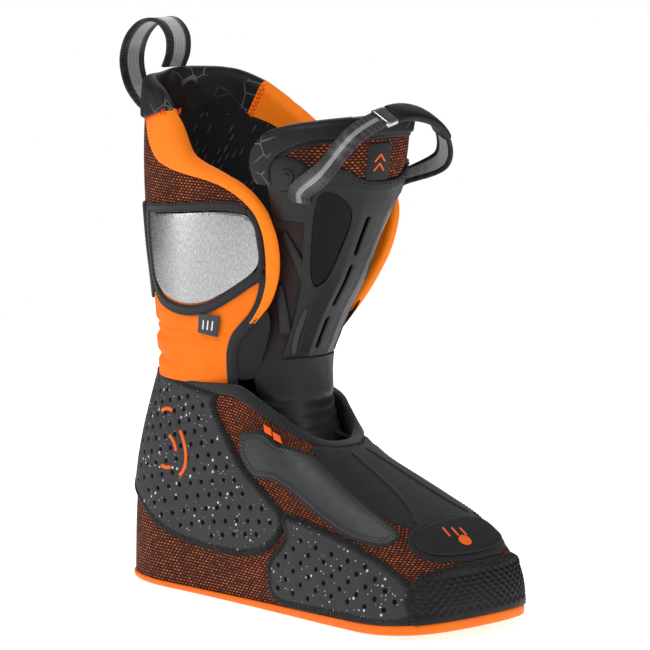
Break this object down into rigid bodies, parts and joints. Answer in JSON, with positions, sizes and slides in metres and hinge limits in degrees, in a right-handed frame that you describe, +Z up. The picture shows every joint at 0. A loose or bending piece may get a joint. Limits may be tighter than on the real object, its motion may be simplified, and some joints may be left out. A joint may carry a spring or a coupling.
{
  "type": "ski boot liner",
  "caption": "Padded inner boot for a ski boot, with a walking cuff, a stiff sprung tongue, pull loops and a walking sole.",
  "frame": {"origin": "on the ground under the back of the heel, on the sole's flat underside", "axes": "+X towards the toe, +Y towards the wearer's left (the medial side of this right-foot liner), +Z up the leg"},
  "size_m": [0.3098, 0.1175, 0.3572],
  "materials": {
    "orange_rubber": "satin moulded edge",
    "board_fibre": "pressed fibre board",
    "footbed_foam": "matt foam with fabric top",
    "lining_fabric": "brushed, with faint diagonal dashes",
    "foam": "closed-cell foam",
    "spacer_mesh": "open black mesh over an orange ground",
    "binding_tape": "ribbed edge tape",
    "speckled_eva": "perforated foam with pale speckles",
    "smooth_overlay": "smooth semi-gloss film",
    "orange_webbing": "woven",
    "stretch_fabric_black": "fine stretch knit",
    "toe_rubber": "embossed honeycomb",
    "patch_tpu": "moulded",
    "stretch_fabric_orange": "fine stretch knit",
    "padded_orange": "smooth stretch fabric over foam",
    "padded_black": "smooth, creased",
    "reflective_fabric": "reflective weave",
    "webbing": "woven, with a pale reflective centre",
    "frame_tpu": "satin moulded plastic",
    "window_film": "glossy film",
    "ferrule_metal": "bright",
    "sleeve_foam": "padded, with an orange stripe",
    "tag_fabric": "woven label"
  },
  "bodies": {
    "foot": {"outsole": "orange_rubber", "lasting_board": "board_fibre", "insole": "footbed_foam", "foot_lining": "lining_fabric", "foot_foam": "foam", "upper_mesh": "spacer_mesh", "collar_binding": "binding_tape", "lateral_ankle_panel": "speckled_eva", "medial_ankle_panel": "speckled_eva", "lateral_forefoot_panel": "speckled_eva", "medial_forefoot_panel": "speckled_eva", "lateral_instep_overlay": "smooth_overlay", "medial_instep_overlay": "smooth_overlay", "lateral_lace_tab": "orange_webbing", "medial_lace_tab": "orange_webbing", "instep_gusset": "stretch_fabric_black", "toe_cap": "toe_rubber", "toe_patch": "patch_tpu", "flex_sleeve": "stretch_fabric_orange", "flex_foam": "foam", "lateral_ankle_gusset": "stretch_fabric_black", "medial_ankle_gusset": "stretch_fabric_black", "tongue_bellows": "stretch_fabric_black"},
    "cuff": {"cuff_lining": "lining_fabric", "cuff_foam": "foam", "cuff_textile": "spacer_mesh", "rear_spoiler": "padded_black", "lateral_collar_roll": "padded_orange", "medial_collar_roll": "padded_orange", "lateral_reflective_panel": "reflective_fabric", "medial_reflective_panel": "reflective_fabric", "lateral_upper_binding": "binding_tape", "medial_upper_binding": "binding_tape", "lateral_lower_binding": "binding_tape", "medial_lower_binding": "binding_tape", "rear_spine": "padded_black", "rear_pull_loop": "webbing"},
    "tongue": {"tongue_lining": "lining_fabric", "tongue_foam": "foam", "tongue_roll": "padded_black", "tongue_mesh": "spacer_mesh", "tongue_frame": "frame_tpu", "tongue_label": "patch_tpu", "lateral_tongue_window": "window_film", "medial_tongue_window": "window_film", "lateral_strap_anchor": "webbing", "medial_strap_anchor": "webbing", "lateral_rivet": "frame_tpu", "medial_rivet": "frame_tpu"},
    "strap": {"lateral_strap_leg": "webbing", "strap_ferrule": "ferrule_metal", "strap_sleeve": "sleeve_foam", "medial_strap_leg": "webbing"},
    "tag": {"size_tag": "tag_fabric"}
  },
  "joints": [
    {"name": "cuff_flex", "type": "hinge", "parent": "foot", "child": "cuff", "pos_m": [0.075, 0, 0.1], "axis": [0, 1, 0], "range_deg": [-12, 12], "stiffness_Nm_per_rad": 3, "deforming": ["flex_sleeve", "flex_foam", "lateral_ankle_gusset", "medial_ankle_gusset"]},
    {"name": "tongue_open", "type": "hinge", "parent": "foot", "child": "tongue", "pos_m": [0.145, 0, 0.112], "axis": [0, 1, 0], "range_deg": [0, 38], "stiffness_Nm_per_rad": 0.8, "deforming": ["tongue_bellows"]},
    {"name": "tongue_strap_swing", "type": "hinge", "parent": "tongue", "child": "strap", "pos_m": [0.166, 0, 0.256], "axis": [0, 1, 0], "range_deg": [0, 60], "stiffness_Nm_per_rad": 0.05},
    {"name": "size_tag_flip", "type": "hinge", "parent": "cuff", "child": "tag", "pos_m": [0.095, -0.0465, 0.1805], "axis": [-1, 0, 0], "range_deg": [0, 75], "stiffness_Nm_per_rad": 0.01}
  ]
}
